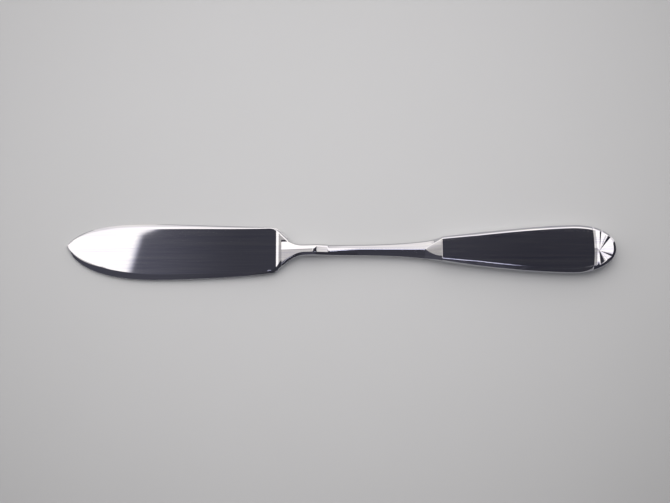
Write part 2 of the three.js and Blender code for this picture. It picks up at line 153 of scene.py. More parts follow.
def middle(x):
    """Height of the knife's middle plane: it rises along the blade and the neck, then runs level."""
    along_blade = between(TIP_HEIGHT, HEEL_HEIGHT, share(x, TIP_X, HEEL_X))
    return along_blade + (HANDLE_HEIGHT - HEEL_HEIGHT) * share(x, HEEL_X, LEVEL_X)


def curve(start, end, bend):
    """Cubic curve between two points, with its handles at shares of the run and the rise."""
    t = np.linspace(0, 1, CURVE_POINTS)[:, None]
    start, end = np.array(start), np.array(end)
    leave, arrive = (between(start, end, np.array(handle)) for handle in bend)
    s = 1 - t
    return s ** 3 * start + 3 * t * s ** 2 * leave + 3 * t * t * s * arrive + t ** 3 * end


def blade_edges(x):
    """Y of the spine and of the belly at stations along X, read off the outline's curves. The shoulder is a
    quadratic curve round the corner between the spine and the slope to the shank."""
    slope = np.array(HEEL_TOP) - np.array(SPINE_SHOULDER)
    slope = slope / np.hypot(*slope) * SHOULDER_ROUND
    t = np.linspace(0, 1, SHOULDER_POINTS)[:, None]
    shoulder = np.array(SPINE_SHOULDER)
    corner = shoulder + [slope[0], 0]
    leaving = shoulder + [2 * slope[0], slope[1]]
    rounded = (1 - t) ** 2 * shoulder + 2 * t * (1 - t) * corner + t * t * leaving
    spine = np.concatenate([
        curve(TIP_POINT, SPINE_CREST, POINT_BEND), curve(SPINE_CREST, SPINE_SHOULDER, SPINE_BEND),
        rounded, [HEEL_TOP],
    ])
    belly = np.concatenate([
        curve(TIP_POINT, BELLY_LOW, BELLY_BEND), curve(BELLY_LOW, BELLY_CORNER, EDGE_BEND),
        curve(BELLY_CORNER, HEEL_BOTTOM, CORNER_BEND),
    ])
    return np.interp(x, *spine.T), np.interp(x, *belly.T)


def shank_edges(x):
    """Y of the shank's spine side and belly side: a rod that flares at the fork and at the bolster."""
    rod = share(x, NECK_X, MOUTH_X) ** ROD_POWER
    spine_flare = FORK_FLARE_SPINE * share(x, NECK_X, FORK_X + FORK_SHOULDER) ** SPINE_FLARE_POWER
    belly_flare = FORK_FLARE_BELLY * share(x, NECK_X, FORK_X) ** BELLY_FLARE_POWER
    spine = AXIS_Y + between(NECK_SPINE, BOLSTER_SPINE, rod) + spine_flare
    belly = AXIS_Y - between(NECK_BELLY, BOLSTER_BELLY, rod) - belly_flare
    return spine, belly


def heel_rise(x):
    """How far the heel stands proud of the blade's face: a soft step, then a steady ramp."""
    return HEEL_STEP * ease(share(x, HEEL_X - STEP_RUN, HEEL_X)) + HEEL_RAMP * np.maximum(x - HEEL_X, 0)


def blade_rings():
    """Sections across X, each a closed ring: over the face from belly to spine, round the spine, back under
    the face and round the edge. Half of the thickness falls from the face to the rim by a power of the
    share of the bevel's width that is crossed. Behind the fork's front only a corner of the heel is left on
    the spine side, and the rest drops to the tenon."""
    swing = np.linspace(0, math.pi / 2, TIP_ROWS)
    x = np.concatenate([
        TIP_X + TIP_RUN * (1 - np.cos(swing)),
        runs((TIP_X + TIP_RUN + FACE_START, HEEL_X - 2 * STEP_RUN, FACE_ROWS),
             (HEEL_X - STEP_RUN - STEP_MARGIN, HEEL_X + STEP_MARGIN, STEP_ROWS),
             (HEEL_X + 2 * STEP_MARGIN, FORK_X - SEAM_LINE, HEEL_ROWS),
             (FORK_X - SEAM_LINE, HEEL_END_X, NOTCH_ROWS)),
    ])
    notched = np.arange(len(x)) >= len(x) - NOTCH_ROWS
    spine, belly = blade_edges(x)
    fork_spine, fork_belly = shank_edges(np.maximum(x, FORK_X))
    belly = np.where(notched, fork_belly + MORTISE_WALL, belly)
    along = share(x, TIP_X, HEEL_X)
    face = between(TIP_THICKNESS, BLADE_THICKNESS, along) / 2 + heel_rise(x)
    heel_share = share(x, HEEL_X - HEEL_LAND_RUN, HEEL_X) ** 2
    land = between(EDGE_THICKNESS / 2, face - HEEL_BEVEL, heel_share)
    fade = between(TIP_BEVEL_SHARE, 1, share(x, TIP_X, TIP_X + BEVEL_RUN)) * np.sqrt(1 - along)
    nose = 1 - share(x, TIP_X, TIP_X + TIP_NOSE)
    face = between(land, face, np.sqrt(1 - nose ** 2))
    ahead = np.maximum(x - SLOPE_STEP, TIP_X)
    behind = np.minimum(x + SLOPE_STEP, HEEL_END_X)
    spine_slope, belly_slope = (
        (after - before) / (behind - ahead) for after, before in zip(blade_edges(behind), blade_edges(ahead)))
    inset = np.minimum(between(EDGE_BULGE, HEEL_BULGE, heel_share), BULGE_SHARE * (spine - belly))
    spine, belly = spine - inset, belly + inset
    room = np.maximum(spine - belly, LEAST_ROOM)

    def bevel(width, slope, lead):
        """Width of a bevel across Y, from its width square to the outline and the outline's slope. It fades
        along the blade, but not below a least width that grows with the lead into the heel."""
        least = between(LEAST_BEVEL, HEEL_BEVEL, lead)
        return np.minimum(np.maximum(width * fade, least) * np.hypot(1, slope), BEVEL_SHARE * room)

    spine_bevel = bevel(SPINE_ROUNDING, spine_slope, heel_share)
    edge_bevel = bevel(EDGE_BEVEL, belly_slope, share(x, HEEL_X - BEVEL_LEAD, HEEL_X))

    # Columns over the face, from belly to spine; the notch's side has two columns at one place
    notch_belly = np.maximum(fork_belly - SEAM_LINE, belly + edge_bevel)
    notch_spine = np.minimum(fork_spine + SEAM_LINE, spine - spine_bevel)
    out = np.linspace(0, 1, BEVEL_COLUMNS)
    across = np.linspace(0, 1, BLADE_COLUMNS)
    columns = [
        (belly, belly + edge_bevel, out[:-1]), (belly + edge_bevel, notch_belly, across),
        (notch_belly, notch_spine, across), (notch_spine, spine - spine_bevel, across),
        (spine - spine_bevel, spine, out[1:]),
    ]
    y = np.concatenate([between(a[:, None], b[:, None], part) for a, b, part in columns], axis=1)
    in_notch = np.concatenate([np.full(len(part), i <= 2) for i, (_, _, part) in enumerate(columns)])
    from_spine = np.clip((spine[:, None] - y) / spine_bevel[:, None], 0, 1)
    from_belly = np.clip((y - belly[:, None]) / edge_bevel[:, None], 0, 1)
    fall = (1 - from_spine) ** SPINE_POWER + (1 - from_belly) ** EDGE_POWER
    height = between(face[:, None], land[:, None], fall)
    height = np.where(notched[:, None] & in_notch, TENON_HALF, height)
    belly_land = np.where(notched, TENON_HALF, land)

    # Arcs round the two rims
    rise = np.linspace(1, -1, RIM_POINTS)[1:-1]
    bulge = inset[:, None] * np.sqrt(1 - rise ** 2)
    ring_y = np.concatenate([y, y[:, -1:] + bulge, y[:, ::-1], y[:, :1] - bulge], axis=1)
    ring_z = np.concatenate(
        [height, land[:, None] * rise, -height[:, ::-1], -belly_land[:, None] * rise], axis=1)
    heel = np.stack([np.broadcast_to(x[:, None], ring_y.shape), ring_y, middle(x)[:, None] + ring_z], axis=2)

    # The tenon's rings have the same points, drawn onto a rectangle
    tenon_x = np.linspace(HEEL_END_X, TENON_END_X, TENON_ROWS)
    tenon_spine, tenon_belly = shank_edges(tenon_x)
    part = (y[-1] - y[-1, 0]) / (y[-1, -1] - y[-1, 0])
    tenon_y = between((tenon_belly + MORTISE_WALL)[:, None], (tenon_spine - MORTISE_WALL)[:, None], part)
    side = np.ones(len(rise))
    tenon_ring_y = np.concatenate(
        [tenon_y, tenon_y[:, -1:] * side, tenon_y[:, ::-1], tenon_y[:, :1] * side], axis=1)
    flat = np.ones(len(part))
    tenon_ring_z = TENON_HALF * np.concatenate([flat, rise, -flat, -rise])
    tenon = np.stack(np.broadcast_arrays(
        tenon_x[:, None], tenon_ring_y, middle(tenon_x)[:, None] + tenon_ring_z), axis=2)
    return np.concatenate([heel, tenon])


def ring_faces(rows, points):
    """Quads between neighbouring rings, and triangles from each end ring to a pole in its middle."""
    index = np.arange(rows * points).reshape(rows, points)
    after = np.roll(index, -1, axis=1)
    walls = np.stack([index[:-1], index[1:], after[1:], after[:-1]], axis=2).reshape(-1, 4)
    first = np.stack([index[0], after[0], np.full(points, rows * points)], axis=1)
    last = np.stack([after[-1], index[-1], np.full(points, rows * points + 1)], axis=1)
    return walls.tolist() + first.tolist() + last.tolist()


MERGE_DISTANCE = 1e-8
CREASE = math.radians(32)


def piece(name, points, faces, body, nodes):
    """A closed mesh from points in millimetres; doubled points are merged, and creases past an angle stay
    sharp."""
    mesh = bpy.data.meshes.new(name)
    mesh.from_pydata((np.asarray(points) * MM).tolist(), [], faces)
    grid = bmesh.new()
    grid.from_mesh(mesh)
    bmesh.ops.remove_doubles(grid, verts=grid.verts, dist=MERGE_DISTANCE)
    bmesh.ops.dissolve_degenerate(grid, edges=grid.edges, dist=MERGE_DISTANCE)
    bmesh.ops.recalc_face_normals(grid, faces=grid.faces)
    grid.to_mesh(mesh)
    grid.free()
    mesh.shade_smooth()
    mesh.set_sharp_from_angle(angle=CREASE)
    made = bpy.data.objects.new(name, mesh)
    bpy.context.scene.collection.objects.link(made)
    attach(made, body)
    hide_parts(*nodes)
    return made


def ringed_piece(name, rings, nodes):
    """A piece from a stack of rings, closed by a pole in the middle of each end ring."""
    rows, count, _ = rings.shape
    points = np.concatenate([rings.reshape(-1, 3), [rings[0].mean(0)], [rings[-1].mean(0)]])
    return piece(name, points, ring_faces(rows, count), "root", nodes)


class Wire:
    """An output of a shader's node; arithmetic on wires and numbers adds the Math nodes that work it out."""

    def __init__(self, shader, socket):
        self.shader = shader
        self.socket = socket

    def maths(self, operation, first, second):
        return self.shader.node("ShaderNodeMath", {"operation": operation}, {0: first, 1: second})

    def __add__(self, other):
        return self.maths("ADD", self, other)

    def __radd__(self, other):
        return self.maths("ADD", other, self)

    def __sub__(self, other):
        return self.maths("SUBTRACT", self, other)

    def __rsub__(self, other):
        return self.maths("SUBTRACT", other, self)

    def __mul__(self, other):
        return self.maths("MULTIPLY", self, other)

    def __rmul__(self, other):
        return self.maths("MULTIPLY", other, self)

    def __truediv__(self, other):
        return self.maths("DIVIDE", self, other)

    def __rtruediv__(self, other):
        return self.maths("DIVIDE", other, self)


class Shader:
    """The nodes of a material or of the world."""

    def __init__(self, owner):
        owner.use_nodes = True
        self.tree = owner.node_tree
        self.tree.nodes.clear()

    def node(self, kind, settings=None, sockets=None, output=0):
        """Adds a node of a kind, sets its settings, then gives its sockets their values or links."""
        made = self.tree.nodes.new(kind)
        for name, value in (settings or {}).items():
            setattr(made, name, value)
        for name, value in (sockets or {}).items():
            if isinstance(value, Wire):
                self.tree.links.new(value.socket, made.inputs[name])
            else:
                made.inputs[name].default_value = value
        return Wire(self, made.outputs[output]) if len(made.outputs) else None


HAIRLINES = (60.0, 2600.0, 1300.0)  # cells of noise to a metre along X, Y and Z
HAIRLINE_BANDS = (14.0, 700.0, 400.0)
HANDLING_MARKS = 90.0
HAIRLINE_DEPTH = 0.00002  # metres
RELIEF_OF_LINES = 0.7  # share of the relief that comes from the lines, the rest from the bands
TONE_SPREAD = 3.0  # widens the noise, which keeps near its middle, to the whole range of tones
BLUE_OF_DARK = 0.4  # share of the contrast that blue takes in the dark hairlines, and in the light ones
BLUE_OF_LIGHT = 0.7
LEAST_ROUGHNESS = 0.7  # share of the roughness between the hairlines, and what the hairlines add
ROUGHNESS_OF_LINES = 0.6


def steel(name, colour, contrast, roughness, hairline, smudge):
    """Stainless steel. Noise drawn out along X, in fine lines and in broad bands, stands for the polishing
    hairlines: it varies the colour by the contrast, the normal by the hairline's strength and the roughness.
    A large soft noise adds handling marks to the roughness, by the smudge."""
    material = bpy.data.materials.new(name)
    shader = Shader(material)
    place = shader.node("ShaderNodeTexCoord", output=3)
    drawn = shader.node("ShaderNodeMapping", {}, {"Vector": place, "Scale": HAIRLINES})
    lines = shader.node("ShaderNodeTexNoise", {}, {"Vector": drawn, "Scale": 1.0, "Detail": 3.0})
    broad = shader.node("ShaderNodeMapping", {}, {"Vector": place, "Scale": HAIRLINE_BANDS})
    bands = shader.node("ShaderNodeTexNoise", {}, {"Vector": broad, "Scale": 1.0, "Detail": 2.0})
    marks = shader.node("ShaderNodeTexNoise", {}, {"Vector": place, "Scale": HANDLING_MARKS, "Detail": 4.0})
    red, green, blue = colour
    darker, lighter = 1 - contrast, 1 + contrast
    tone = shader.node("ShaderNodeMix", {"data_type": "RGBA"}, {
        0: (lines * 0.5 + bands * 0.5 - 0.5) * TONE_SPREAD + 0.5,
        6: (red * darker, green * darker, blue * (1 - contrast * BLUE_OF_DARK), 1.0),
        7: (red * lighter, green * lighter, blue * (1 + contrast * BLUE_OF_LIGHT), 1.0),
    }, output=2)
    relief = shader.node("ShaderNodeBump", {}, {
        "Strength": hairline, "Distance": HAIRLINE_DEPTH,
        "Height": lines * RELIEF_OF_LINES + bands * (1 - RELIEF_OF_LINES)})
    surface = shader.node("ShaderNodeBsdfPrincipled", {}, {
        "Base Color": tone,
        "Metallic": 1.0,
        "Roughness": roughness * LEAST_ROUGHNESS + lines * (roughness * ROUGHNESS_OF_LINES) + marks * smudge,
        "Normal": relief,
    })
    shader.node("ShaderNodeOutputMaterial", {}, {"Surface": surface})
    return material


blade = ringed_piece("blade_skin", blade_rings(), ["blade"])
blade.data.materials.append(steel(
    "blade_steel", (0.62, 0.62, 0.635), contrast=0.12, roughness=0.02, hairline=0.015, smudge=0.005))

# Shank
# Forged stainless steel rod: its slotted front clasps the blade's heel, the neck rises to a low hump, and a
# roof ridge runs to the bolster, where it forks. Behind the bolster the tang goes into the handle.

HUMP_X = -8.2
LAND_X = -7.4
RIDGE_X = -3.65
LAND_GAP = 0.3  # end of the land to the ridge
RIDGE_END_X = 5.5
BOLSTER_X = 26.2
TANG_END_X = 65.3
TANG_HALF_WIDTH = 2.2
TANG_TIP_HALF = 1.5
TANG_HALF = 0.7

# Along the shank: half height, half width, place and rounding of the crown, which is a soft ridge on the
# neck, a land behind the hump and a sharp ridge on the rod; and the fall of its facets for each millimetre
# to either side
STATIONS = (FORK_X, HUMP_X, LAND_X, RIDGE_X - LAND_GAP, RIDGE_X, RIDGE_END_X, BOLSTER_X, MOUTH_X)
CROWN_HEIGHTS = (1.31, 2.05, 1.97, 1.4, 1.35, 1.42, 1.48, 2.32)
CROWN_HALVES = (0.3, 0.3, 0.8, 0.8, 0.45, 0.12, 0.12, 0.12)
CROWN_SHIFTS = (-0.2, -0.1, 0.0, -0.1, -0.3, 0.0, 0.0, 0.0)  # middle of the crown, from the axis
CROWN_ROUND = (1.2, 0.5, 0.2, 0.2, 0.1, 0.1, 0.12, 0.15)
FALLS_SPINE = (0.16, 0.16, 0.12, 0.3, 0.75, 0.6, 0.4, 1.0)
FALLS_BELLY = (0.1, 0.1, 0.04, 0.1, 0.45, 0.45, 0.42, 1.0)
CROWN_BLEND = 0.3  # length over which the crown's slopes run into each other
CROWN_LEAN = 0.06  # rise of the crown towards the belly for each millimetre across
SPINE_BEVEL = 0.45  # bevels along the shank's sides, seen from above
BELLY_BEVELS = (0.75, 0.75, 0.75, 0.75, 0.75, 0.7, 0.45, 0.45)
SIDE_FALL = 0.95  # fall of those bevels for each millimetre of their width
SIDE_ROUND = 0.08
BEVEL_ROUND = 0.12
FACE_SPINE = 3.05  # edges of the bolster's face at the mouth
FACE_BELLY = 2.4
ARC_STEPS = 9
BLEND_STEPS = 9
LEAST_LENGTH = 1e-6
BAR_ROUND = 0.05
BAR_CORNERS = (0, 0.15, 0.3, 0.7, 0.85, 1)  # shares of the way from the spine side to the belly side
MORTISE_ROWS = 12
TANG_ROOT = 1.0  # from the mouth to the tang's next station


def profile(x, values, blend=0.0):
    """A value along the shank: straight between its stations, then averaged over the blend to either side,
    which shrinks to nothing at the shank's ends."""
    reach = np.minimum(blend, np.minimum(x - FORK_X, MOUTH_X - x))
    near = x[:, None] + reach[:, None] * np.linspace(-1, 1, BLEND_STEPS)
    return np.interp(near, STATIONS, values).mean(axis=1)


def rounded_rings(x, corners):
    """Sections across X, alike above and below the middle plane, from the corners of the upper half, each a
    place in Y, a height and a rounding, given from the spine side to the belly side. Each corner becomes an
    arc, a quadratic curve between the places where its two sides are cut, at the rounding or at half of
    their length."""
    upper = np.stack([np.stack(np.broadcast_arrays(*corner), axis=1) for corner in corners], axis=1)
    lower = upper[:, ::-1] * [1, -1, 1]
    corner = np.concatenate([lower[:, -1:], upper, lower[:, :-1]], axis=1)
    corner, radius = corner[..., :2], corner[..., 2:]
    before = np.roll(corner, 1, axis=1) - corner
    after = np.roll(corner, -1, axis=1) - corner

    def cut(way):
        length = np.linalg.norm(way, axis=2, keepdims=True)
        return corner + way * np.minimum(0.5, radius / np.maximum(length, LEAST_LENGTH))

    t = np.linspace(0, 1, ARC_STEPS)[:, None]
    start, end, top = (points[:, :, None, :] for points in (cut(before), cut(after), corner))
    arcs = (1 - t) ** 2 * start + 2 * t * (1 - t) * top + t * t * end
    ring = arcs.reshape(len(x), -1, 2)
    return np.stack(np.broadcast_arrays(x[:, None], ring[..., 0], middle(x)[:, None] + ring[..., 1]), axis=2)


def bar_rings(x, spine, belly, half):
    """Sections of a flat bar, with as many corners as the shank's."""
    return rounded_rings(x, [
        (between(spine, belly, part), half + 0 * x, BAR_ROUND) for part in BAR_CORNERS])


def shank_rings():
    """The skin of the shank in one run: out of the mortise, round the fork's front, back along the rod to the
    bolster, across its end and along the tang."""
    mortise_x = np.linspace(TENON_END_X + SEAM, FORK_X, MORTISE_ROWS)
    spine, belly = shank_edges(mortise_x)
    wall = MORTISE_WALL - SEAM
    mortise = bar_rings(mortise_x, spine - wall, belly + wall, TENON_HALF + SEAM)

    # Stations crowd from before the hump to behind the land, and from the bolster to the mouth
    x = runs((FORK_X, HUMP_X - 2, 44), (HUMP_X - 1.8, RIDGE_X + 1, 40), (RIDGE_X + 1.4, BOLSTER_X - 0.4, 60),
             (BOLSTER_X - 0.2, MOUTH_X - 0.3, 46), (MOUTH_X - 0.25, MOUTH_X, 5))
    spine, belly = shank_edges(x)
    flare = share(x, BOLSTER_X, MOUTH_X)
    crown_half = profile(x, CROWN_HALVES)
    ridge_y = AXIS_Y + profile(x, CROWN_SHIFTS)
    crown_spine = ridge_y + between(crown_half, FACE_SPINE, flare)
    crown_belly = ridge_y - between(crown_half, FACE_BELLY, 1 - (1 - flare) ** 2)
    crown = profile(x, CROWN_HEIGHTS, CROWN_BLEND)
    lean = CROWN_LEAN * share(x, RIDGE_X - LAND_GAP, RIDGE_X) * crown_half
    belly_bevel = profile(x, BELLY_BEVELS)
    spine_edge = crown - lean - profile(x, FALLS_SPINE) * (spine - SPINE_BEVEL - crown_spine)
    belly_edge = crown + lean - profile(x, FALLS_BELLY) * (crown_belly - belly - belly_bevel)
    crown_round = profile(x, CROWN_ROUND)
    rod = rounded_rings(x, [
        (spine, spine_edge - SIDE_FALL * SPINE_BEVEL, SIDE_ROUND),
        (spine - SPINE_BEVEL, spine_edge, BEVEL_ROUND),
        (crown_spine, crown - lean, crown_round),
        (crown_belly, crown + lean, crown_round),
        (belly + belly_bevel, belly_edge, BEVEL_ROUND),
        (belly, belly_edge - SIDE_FALL * belly_bevel, SIDE_ROUND),
    ])

    tang_x = np.array([MOUTH_X, MOUTH_X + TANG_ROOT, TANG_END_X])
    tang_half = np.interp(tang_x, [MOUTH_X, TANG_END_X], [TANG_HALF_WIDTH, TANG_TIP_HALF])
    tang = bar_rings(tang_x, AXIS_Y + tang_half, AXIS_Y - tang_half, TANG_HALF)
    return np.concatenate([mortise, rod, tang])


shank = ringed_piece("shank_skin", shank_rings(), ["shank"])
shank.data.materials.append(steel(
    "shank_steel", (0.64, 0.64, 0.65), contrast=0.12, roughness=0.04, hairline=0.01, smudge=0.01))

# Handle shells
# Two half shells pressed from thin stainless sheet and soldered along their rims into a hollow handle. Each
# has a flat panel between bevels, and a border groove and a fan of flutes struck into its end.

END_X = 85.0
WIDEST_X = 71.9
HANDLE_HALF_WIDTH = 7.45
MOUTH_HALF_WIDTH = 3.7
HANDLE_POWERS = {1: 1.42, -1: 1.7}  # on the spine side and on the belly side
END_POWERS = {1: 2.25, -1: 2.0}  # 2 is an ellipse, and more is fuller
PANEL_TOP = 2.4  # panel above the seam
MOUTH_BEVEL = 0.5  # bevel beside the panel, seen from above
PANEL_BEVELS = {1: 0.8, -1: 1.05}
RIM_BEVEL = 0.7
BEVEL_DROPS = {1: 1.05, -1: 1.14}  # drop of those bevels for each millimetre of their width
BEVEL_GROWTH = 11.0
PANEL_ROUND = 0.2  # roundings above and below the bevel
FOOT_ROUND = 0.06
ROUND_SHARE = 0.4  # most of the bevel's width that one of them takes
FOOT_REACH = 1.5  # the lower one reaches further down the upright side
PANEL_CROWN = 0.015  # fall of the panel towards its bevels
HUB_X = 79.75
HUB_DROP = 0.8  # from the handle's axis towards the belly side
HUB_DEPTH = 0.06
MOUTH_CHAMFER = 0.07
CHAMFER_DROP = 0.03
CHAMFER_GAP = 0.03  # from the chamfer to the next station
BORDER_X = 78.25
BORDER_BOW = 0.45
BORDER_DEPTH = 0.2
BORDER_LIP = 0.25
BAND_X = 78.9
BAND_FALL = 0.12  # fall of groove and band from the middle to their ends
LOBE_EDGES = (-118, -24, 50, 82, 100)  # degrees from +X; the band cuts off the first and the last lobe
LOBE_POWER = 3.0
FAN_FALL = 0.4  # from the hub to the handle's end; the fan's spine side falls like the band
EVEN_BELOW = math.radians(-56)  # nearer to the belly side the fan's fall stays the same
FLUTE_DEPTH = 0.36
FAN_SIDE = 1.5  # upright rim round the fan
SHELL_WALL = 0.6
HOLLOW_END_X = 76.0
FACE_COLUMNS = 34
ARC_POINTS = 8
LOBE_RAYS = 21
JOIN_ROWS = 8  # from the band's last row to the fan's outer rays
HALVINGS = 40


def handle_half(x, sign):
    """Width of one side of the handle: from the widest place it narrows towards the mouth by a power of the
    share of the way, and towards the end like a quarter of an ellipse, whose power is 2 or more."""
    bulge = (1 - share(x, MOUTH_X, WIDEST_X)) ** HANDLE_POWERS[sign]
    end = (1 - share(x, WIDEST_X, END_X) ** END_POWERS[sign]) ** (1 / END_POWERS[sign])
    return between(HANDLE_HALF_WIDTH, MOUTH_HALF_WIDTH, bulge) * end


def rim_radius(angle):
    """Distance from the fan's hub to the curve of the handle's end, in a direction from +X. The sum of the
    powers of its shares of length and width is 1 on that curve; halving a span finds the distance."""
    near, far = np.zeros_like(angle), np.full_like(angle, END_X - WIDEST_X)
    for _ in range(HALVINGS):
        middle_way = (near + far) / 2
        across = middle_way * np.sin(angle) - HUB_DROP
        power = np.where(across > 0, END_POWERS[1], END_POWERS[-1])
        along = (HUB_X - WIDEST_X + middle_way * np.cos(angle)) / (END_X - WIDEST_X)
        inside = along ** power + np.abs(across / HANDLE_HALF_WIDTH) ** power < 1
        near, far = np.where(inside, middle_way, near), np.where(inside, far, middle_way)
    return near


def flute(angle):
    """Depth round the fan: 0 on the crest of a lobe, rising by a power of the way to 1 at its two edges."""
    edges = np.radians(LOBE_EDGES)
    lobe = np.clip(np.searchsorted(edges, angle, side="right") - 1, 0, len(edges) - 2)
    centre = (edges[lobe] + edges[lobe + 1]) / 2
    half = (edges[lobe + 1] - edges[lobe]) / 2
    return np.abs((angle - centre) / half) ** LOBE_POWER


def rim_columns(reach, bevel, side, start, edge):
    """Distances out and heights from the face's rim to the seam: an arc over the face's edge, the bevel, an
    arc over its lower edge, and the upright side. Each arc is a quadratic curve round its corner."""
    t = np.linspace(0, 1, ARC_POINTS)[:, None]
    fall = (edge - side) / bevel
    upper = np.minimum(PANEL_ROUND, ROUND_SHARE * bevel)
    lower = np.minimum(FOOT_ROUND, ROUND_SHARE * bevel)

    def arc(*places):
        first, corner, last = (np.stack(place, axis=1)[:, None, :] for place in places)
        return (1 - t) ** 2 * first + 2 * t * (1 - t) * corner + t * t * last

    corner = reach - bevel
    top = arc((corner - upper, start), (corner, edge), (corner + upper, edge - fall * upper))
    foot = arc((reach - lower, side + fall * lower), (reach, side), (reach, side - FOOT_REACH * lower))
    seam = np.stack([reach, np.zeros_like(reach)], axis=1)[:, None, :]
    return np.concatenate([top, foot, seam], axis=1)


def half_rows(reach, bevel, side, face):
    """Distances out and heights over half of the handle, from its middle line to the seam. The height of the
    face is a function of the share of the way out to the face's edge."""
    edge = reach - bevel
    start = ((edge - np.minimum(PANEL_ROUND, ROUND_SHARE * bevel)) / edge)[:, None]
    out = np.linspace(0, 1, FACE_COLUMNS)[:-1] * start
    flat = np.stack([out * edge[:, None], face(out)], axis=2)
    rim = rim_columns(reach, bevel, side, face(start)[:, 0], face(np.ones_like(start))[:, 0])
    return np.concatenate([flat, rim], axis=1)


def hollow_rows(reach, bevel, side, columns):
    """Distances out and heights inside the shell, as many as outside: panel, bevel and side of the outer
    section, each moved in by the wall."""
    drop = PANEL_TOP - side
    level = SHELL_WALL * np.hypot(bevel, drop) / drop
    crown = reach - bevel + SHELL_WALL * bevel / drop - level
    inner_side = side - (level - SHELL_WALL) * drop / bevel
    corners = [0, 1, 2, 3]
    along = np.concatenate([
        np.linspace(0, 1, FACE_COLUMNS)[:-1], np.linspace(1, 3, columns - FACE_COLUMNS + 1)])
    out = np.stack([np.interp(along, corners, places) for places in zip(
        np.zeros_like(crown), crown, reach - SHELL_WALL, reach - SHELL_WALL)])
    top = np.full_like(crown, PANEL_TOP - SHELL_WALL)
    up = np.stack([np.interp(along, corners, heights) for heights in zip(
        top, top, inner_side, np.zeros_like(crown))])
    return np.stack([out, up], axis=2)


def lay(rows, start_x, start_y, way_x, way_y, bow, reach):
    """Puts rows of (distance out, height) into space along a way from a starting place; a bowed row bends
    back towards the mouth by the square of the share of the way out."""
    out = rows[..., 0]
    x = start_x[:, None] + way_x[:, None] * out - bow[:, None] * np.minimum(out / reach[:, None], 1) ** 2
    return np.stack([x, start_y + way_y[:, None] * out, rows[..., 1]], axis=2)


def shell_grid():
    """One surface for a whole half shell. One parameter runs from the mouth along the spine side, round the
    fan and back along the belly side; the other from the middle line out to the seam and back inside."""
    # Stations crowd on the mouth's chamfer and across the border groove
    hollow_x = runs((MOUTH_X, MOUTH_X + MOUTH_CHAMFER, 4),
                    (MOUTH_X + MOUTH_CHAMFER + CHAMFER_GAP, HOLLOW_END_X, 80))
    solid_x = runs((HOLLOW_END_X, BORDER_X - 0.5, 5), (BORDER_X - 0.4, BORDER_X + 0.35, 16),
                   (BORDER_X + 0.4, BAND_X + 0.1, 8))
    x = np.concatenate([hollow_x, solid_x])
    bow = BORDER_BOW * np.minimum(
        share(x, MOUTH_X, BORDER_X - BORDER_LIP), 1 - 0.5 * share(x, BORDER_X, BAND_X))
    groove = np.interp(
        x, [MOUTH_X, MOUTH_X + MOUTH_CHAMFER, BORDER_X - BORDER_LIP, BORDER_X, BAND_X],
        [CHAMFER_DROP, 0, 0, BORDER_DEPTH, 0])
    band = BAND_FALL * share(x, BORDER_X - BORDER_LIP, BORDER_X)

    def panel(out):
        return (PANEL_TOP - groove)[:, None] - PANEL_CROWN * out ** 4 - band[:, None] * out

    degrees = np.unique(np.concatenate([
        np.linspace(low, high, LOBE_RAYS) for low, high in zip(LOBE_EDGES, LOBE_EDGES[1:])]))
    angle = np.radians(degrees[np.abs(degrees) <= 90])[::-1]
    rim = rim_radius(angle)
    level = np.ones(len(angle))
    plain_fall = between(BAND_FALL, FAN_FALL, np.cos(np.maximum(angle, EVEN_BELOW)) ** 2)
    fall = plain_fall + FLUTE_DEPTH * flute(angle)
    rays = half_rows(
        rim, RIM_BEVEL * level, FAN_SIDE * level, lambda out: PANEL_TOP - HUB_DEPTH - out * fall[:, None])
    fan = lay(rays, HUB_X * level, AXIS_Y - HUB_DROP, np.cos(angle), np.sin(angle), 0 * level, rim)

    def side_rows(sign, ray):
        """Outer and inner rows along one side of the handle, joined to the fan's first or last ray."""
        bevel = between(MOUTH_BEVEL, PANEL_BEVELS[sign], share(x, MOUTH_X, MOUTH_X + BEVEL_GROWTH))
        bevel = between(bevel, RIM_BEVEL, share(x, BORDER_X, HUB_X))
        side = PANEL_TOP - BEVEL_DROPS[sign] * bevel
        reach = handle_half(x - bow, sign)
        behind = handle_half(x - bow + SLOPE_STEP, sign)
        ahead = handle_half(x - bow - SLOPE_STEP, sign)
        turn = (behind - ahead) / (2 * SLOPE_STEP)
        bevel = bevel * np.hypot(1, turn)
        body = half_rows(reach, bevel, side, panel)
        hollow = hollow_rows(reach, bevel, side, body.shape[1])[:len(hollow_x)]
        way = np.zeros(len(x))
        outer = lay(body, x, AXIS_Y, way, way + sign, bow, reach)
        part = np.linspace(0, 1, JOIN_ROWS)[1:-1, None, None]
        outer = np.concatenate([outer, between(outer[-1], ray, part)])
        inner = outer * [1, 1, 0]
        still = way[:len(hollow_x)]
        inner[:len(hollow_x)] = lay(
            hollow, hollow_x, AXIS_Y, still, still + sign, still, reach[:len(hollow_x)])
        return np.concatenate([outer, inner[:, ::-1]], axis=1)

    spine_side = side_rows(1, fan[0])
    belly_side = side_rows(-1, fan[-1])
    fan = np.concatenate([fan, (fan * [1, 1, 0])[:, ::-1]], axis=1)
    return np.concatenate([spine_side, fan, belly_side[::-1]])


def shell_faces(rows, columns):
    """Quads between neighbouring rows, and a strip from the outside to the inside across each mouth row."""
    index = np.arange(rows * columns).reshape(rows, columns)
    skin = np.stack([index[:-1, :-1], index[1:, :-1], index[1:, 1:], index[:-1, 1:]], axis=2).reshape(-1, 4)
    half = columns // 2
    mouths = [
        np.stack([row[:half - 1], row[1:half], row[::-1][1:half], row[::-1][:half - 1]], axis=1)
        for row in (index[0], index[-1])]
    return np.concatenate([skin, *mouths]).tolist()


